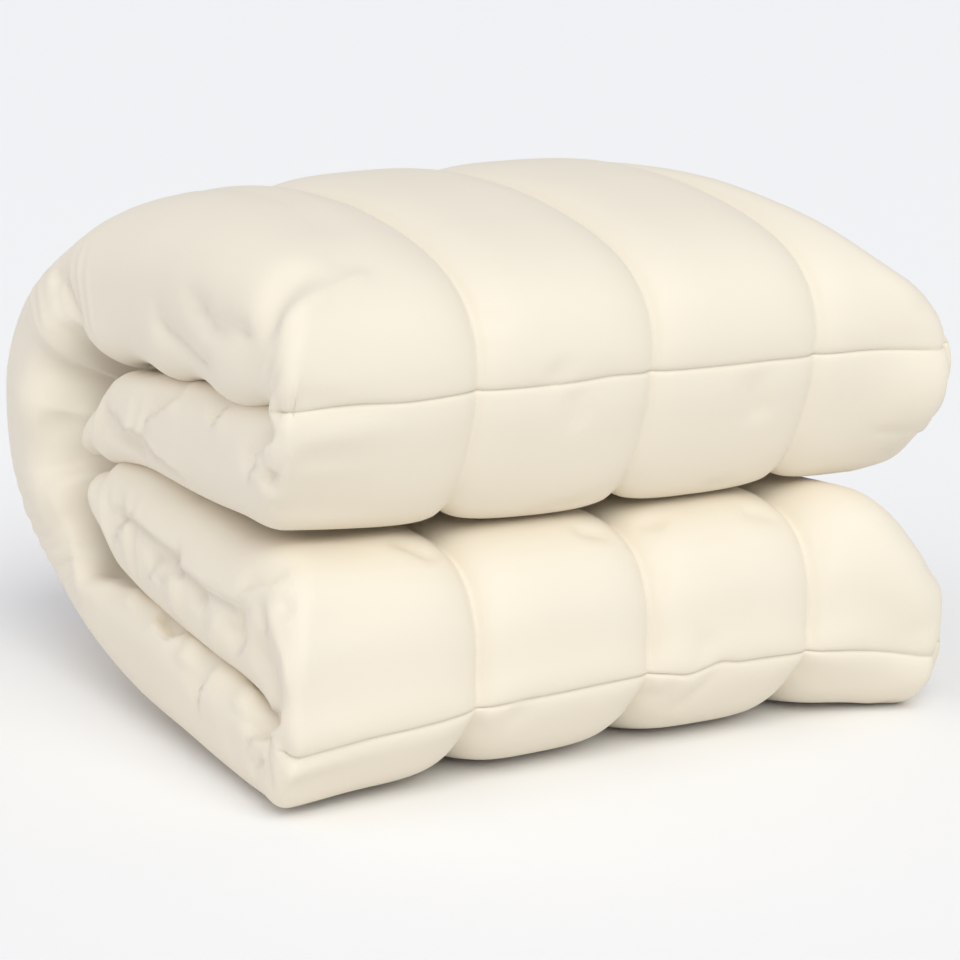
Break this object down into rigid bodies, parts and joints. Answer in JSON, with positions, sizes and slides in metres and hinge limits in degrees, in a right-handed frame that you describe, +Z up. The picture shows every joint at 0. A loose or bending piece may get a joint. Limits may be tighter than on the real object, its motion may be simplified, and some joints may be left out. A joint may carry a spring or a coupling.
{
  "type": "folded weighted blanket",
  "caption": "Puffy channel-quilted weighted blanket, folded into a thick square bundle with round folds.",
  "frame": {"origin": "middle of the underside of the bounding box, on the surface that the bundle lies on", "axes": "+X along the front folds, from the round lengthwise fold towards the side hems; +Y from the front folds to the round back; +Z up"},
  "size_m": [0.6, 0.5871, 0.4308],
  "materials": {
    "cotton": "smooth undyed cotton sateen"
  },
  "bodies": {
    "root": {"weighted_blanket": "cotton"}
  },
  "joints": []
}
